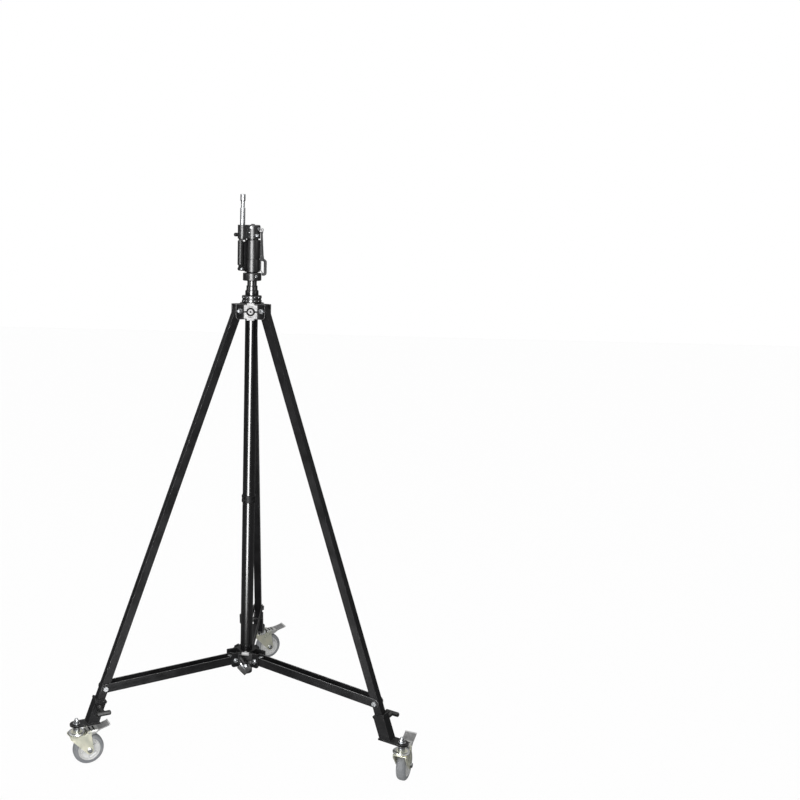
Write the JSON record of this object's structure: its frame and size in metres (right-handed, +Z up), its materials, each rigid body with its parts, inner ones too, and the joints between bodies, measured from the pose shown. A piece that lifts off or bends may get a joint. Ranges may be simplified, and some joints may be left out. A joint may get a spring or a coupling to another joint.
{
  "type": "rolling lighting stand",
  "caption": "Black rolling lighting stand: three folding braced legs on braked casters, a telescopic column, and a head with an offset spigot and a pull lever.",
  "frame": {"origin": "on the floor, at the middle of the stand's footprint box", "axes": "+Z up along the column; the back leg points along +Y, the other two towards the front left and front right"},
  "size_m": [1.0972, 0.984, 1.7757],
  "materials": {
    "black_paint": "satin",
    "zinc": "satin",
    "bright_plate": "brushed",
    "yellow_zinc": "satin",
    "grey_rubber": "matte",
    "pale_plastic": "matte",
    "pedal_plastic": "matte",
    "black_plastic": "satin"
  },
  "bodies": {
    "column": {"centre_column": "black_paint", "column_foot_plug": "black_plastic", "stage_two_bush": "black_plastic", "top_hub": "black_paint", "top_hub_bolt_left": "zinc", "top_hub_bolt_right": "zinc", "top_hub_bolt_back": "zinc", "top_hub_plate_opposite_left": "bright_plate", "top_hub_plate_opposite_right": "bright_plate", "top_hub_plate_opposite_back": "bright_plate", "top_collar": "black_paint", "mid_ring": "black_paint"},
    "mid_screw": {"mid_ring_screw": "black_plastic"},
    "lower_hub": {"lower_hub": "black_paint", "lower_hub_clamp_block": "zinc", "lower_hub_bolt_left": "zinc", "lower_hub_bolt_right": "zinc", "lower_hub_bolt_back": "zinc"},
    "lock_lever": {"lower_hub_lock_lever": "zinc"},
    "brace_left": {"brace_left": "black_paint"},
    "leg_left": {"leg_left": "black_paint", "caster_adapter_left": "black_paint", "caster_stem_left": "zinc"},
    "clamp_handle_left": {"clamp_handle_left": "black_plastic"},
    "caster_left": {"caster_fork_left": "yellow_zinc", "caster_axle_left": "zinc"},
    "wheel_left": {"caster_tyre_left": "grey_rubber", "caster_core_left": "pale_plastic"},
    "pedal_left": {"caster_pedal_left": "pedal_plastic"},
    "brace_right": {"brace_right": "black_paint"},
    "leg_right": {"leg_right": "black_paint", "caster_adapter_right": "black_paint", "caster_stem_right": "zinc"},
    "clamp_handle_right": {"clamp_handle_right": "black_plastic"},
    "caster_right": {"caster_fork_right": "yellow_zinc", "caster_axle_right": "zinc"},
    "wheel_right": {"caster_tyre_right": "grey_rubber", "caster_core_right": "pale_plastic"},
    "pedal_right": {"caster_pedal_right": "pedal_plastic"},
    "brace_back": {"brace_back": "black_paint"},
    "leg_back": {"leg_back": "black_paint", "caster_adapter_back": "black_paint", "caster_stem_back": "zinc"},
    "clamp_handle_back": {"clamp_handle_back": "black_plastic"},
    "caster_back": {"caster_fork_back": "yellow_zinc", "caster_axle_back": "zinc"},
    "wheel_back": {"caster_tyre_back": "grey_rubber", "caster_core_back": "pale_plastic"},
    "pedal_back": {"caster_pedal_back": "pedal_plastic"},
    "stage_two": {"stage_two": "black_paint", "stage_one_bush": "black_plastic"},
    "stage_one": {"stage_one": "black_paint", "head_lower_collar": "black_paint"},
    "head": {"head_body": "black_paint", "head_cap": "black_paint", "spigot": "zinc"},
    "spigot_knob": {"spigot_lock_knob": "black_plastic"},
    "side_lever": {"side_lever_arm": "black_paint"},
    "side_grip": {"side_lever_grip": "black_plastic"},
    "pull_lever": {"pull_lever": "black_paint"}
  },
  "joints": [
    {"name": "lower_hub_slide", "type": "slide", "parent": "column", "child": "lower_hub", "axis": [0, 0, 1], "range_m": [0, 0.385]},
    {"name": "lock_lever_turn", "type": "hinge", "parent": "lower_hub", "child": "lock_lever", "pos_m": [-0.00778, -0.16295, 0.25638], "axis": [0, -1, 0], "range_deg": [0, 90]},
    {"name": "mid_screw_turn", "type": "hinge", "parent": "column", "child": "mid_screw", "pos_m": [-0.01178, -0.16295, 0.80638], "axis": [-0.4226, -0.9063, 0], "continuous": true},
    {"name": "leg_fold_left", "type": "hinge", "parent": "column", "child": "leg_left", "pos_m": [-0.05439, -0.18755, 1.41708], "axis": [0.5, -0.866, 0], "range_deg": [0, 18.7]},
    {"name": "brace_fold_left", "type": "hinge", "parent": "lower_hub", "child": "brace_left", "pos_m": [-0.053, -0.18676, 0.26338], "axis": [0.5, -0.866, 0], "range_deg": [0, 81.6]},
    {"name": "clamp_handle_turn_left", "type": "hinge", "parent": "leg_left", "child": "clamp_handle_left", "pos_m": [-0.45682, -0.4199, 0.18746], "axis": [0.5, -0.866, 0], "continuous": true},
    {"name": "caster_swivel_turn_left", "type": "hinge", "parent": "leg_left", "child": "caster_left", "pos_m": [-0.51667, -0.45445, -0.00062], "axis": [0, 0, 1], "continuous": true},
    {"name": "wheel_spin_left", "type": "hinge", "parent": "caster_left", "child": "wheel_left", "pos_m": [-0.48463, -0.43595, 0.04938], "axis": [-0.5, 0.866, 0], "continuous": true},
    {"name": "pedal_press_left", "type": "hinge", "parent": "caster_left", "child": "pedal_left", "pos_m": [-0.4855, -0.43645, 0.10838], "axis": [-0.5, 0.866, 0], "range_deg": [0, 12]},
    {"name": "leg_fold_right", "type": "hinge", "parent": "column", "child": "leg_right", "pos_m": [0.03083, -0.18755, 1.41708], "axis": [0.5, 0.866, 0], "range_deg": [0, 18.7]},
    {"name": "brace_fold_right", "type": "hinge", "parent": "lower_hub", "child": "brace_right", "pos_m": [0.02944, -0.18676, 0.26338], "axis": [0.5, 0.866, 0], "range_deg": [0, 81.6]},
    {"name": "clamp_handle_turn_right", "type": "hinge", "parent": "leg_right", "child": "clamp_handle_right", "pos_m": [0.43326, -0.4199, 0.18746], "axis": [0.5, 0.866, 0], "continuous": true},
    {"name": "caster_swivel_turn_right", "type": "hinge", "parent": "leg_right", "child": "caster_right", "pos_m": [0.49311, -0.45445, -0.00062], "axis": [0, 0, 1], "continuous": true},
    {"name": "wheel_spin_right", "type": "hinge", "parent": "caster_right", "child": "wheel_right", "pos_m": [0.50516, -0.41947, 0.04938], "axis": [-0.9455, 0.3256, 0], "continuous": true},
    {"name": "pedal_press_right", "type": "hinge", "parent": "caster_right", "child": "pedal_right", "pos_m": [0.50483, -0.42042, 0.10838], "axis": [-0.9455, 0.3256, 0], "range_deg": [0, 12]},
    {"name": "leg_fold_back", "type": "hinge", "parent": "column", "child": "leg_back", "pos_m": [-0.01178, -0.11375, 1.41708], "axis": [-1, 0, 0], "range_deg": [0, 18.7]},
    {"name": "brace_fold_back", "type": "hinge", "parent": "lower_hub", "child": "brace_back", "pos_m": [-0.01178, -0.11535, 0.26338], "axis": [-1, 0, 0], "range_deg": [0, 81.6]},
    {"name": "clamp_handle_turn_back", "type": "hinge", "parent": "leg_back", "child": "clamp_handle_back", "pos_m": [-0.01178, 0.35093, 0.18746], "axis": [-1, 0, 0], "continuous": true},
    {"name": "caster_swivel_turn_back", "type": "hinge", "parent": "leg_back", "child": "caster_back", "pos_m": [-0.01178, 0.42005, -0.00062], "axis": [0, 0, 1], "continuous": true},
    {"name": "wheel_spin_back", "type": "hinge", "parent": "caster_back", "child": "wheel_back", "pos_m": [0.02026, 0.43855, 0.04938], "axis": [-0.5, 0.866, 0], "continuous": true},
    {"name": "pedal_press_back", "type": "hinge", "parent": "caster_back", "child": "pedal_back", "pos_m": [0.0194, 0.43805, 0.10838], "axis": [-0.5, 0.866, 0], "range_deg": [0, 12]},
    {"name": "stage_two_slide", "type": "slide", "parent": "column", "child": "stage_two", "axis": [0, 0, 1], "range_m": [0, 0.95]},
    {"name": "stage_one_slide", "type": "slide", "parent": "stage_two", "child": "stage_one", "axis": [0, 0, 1], "range_m": [0, 0.95]},
    {"name": "head_pan", "type": "hinge", "parent": "stage_one", "child": "head", "pos_m": [-0.01178, -0.16295, -0.00062], "axis": [0, 0, 1], "continuous": true},
    {"name": "spigot_knob_turn", "type": "hinge", "parent": "head", "child": "spigot_knob", "pos_m": [-0.01178, -0.16295, 1.65238], "axis": [-0.8192, -0.5736, 0], "continuous": true},
    {"name": "side_lever_turn", "type": "hinge", "parent": "head", "child": "side_lever", "pos_m": [-0.01178, -0.16295, 1.62438], "axis": [-0.8192, -0.5736, 0], "range_deg": [-90, 90]},
    {"name": "side_grip_fold", "type": "hinge", "parent": "side_lever", "child": "side_grip", "pos_m": [-0.04729, -0.18782, 1.54738], "axis": [0.5736, -0.8192, 0], "range_deg": [0, 90]},
    {"name": "pull_lever_swing", "type": "hinge", "parent": "head", "child": "pull_lever", "pos_m": [0.01522, -0.16295, 1.66738], "axis": [0, -1, 0], "range_deg": [0, 35]}
  ],
  "couplings": [
    {"joint": "leg_fold_left", "follows": "lower_hub_slide", "rad_per_m": 0.84773},
    {"joint": "brace_fold_left", "follows": "lower_hub_slide", "rad_per_m": 3.6992},
    {"joint": "leg_fold_right", "follows": "lower_hub_slide", "rad_per_m": 0.84773},
    {"joint": "brace_fold_right", "follows": "lower_hub_slide", "rad_per_m": 3.6992},
    {"joint": "leg_fold_back", "follows": "lower_hub_slide", "rad_per_m": 0.84773},
    {"joint": "brace_fold_back", "follows": "lower_hub_slide", "rad_per_m": 3.6992},
    {"joint": "stage_one_slide", "follows": "stage_two_slide", "ratio": 1}
  ]
}
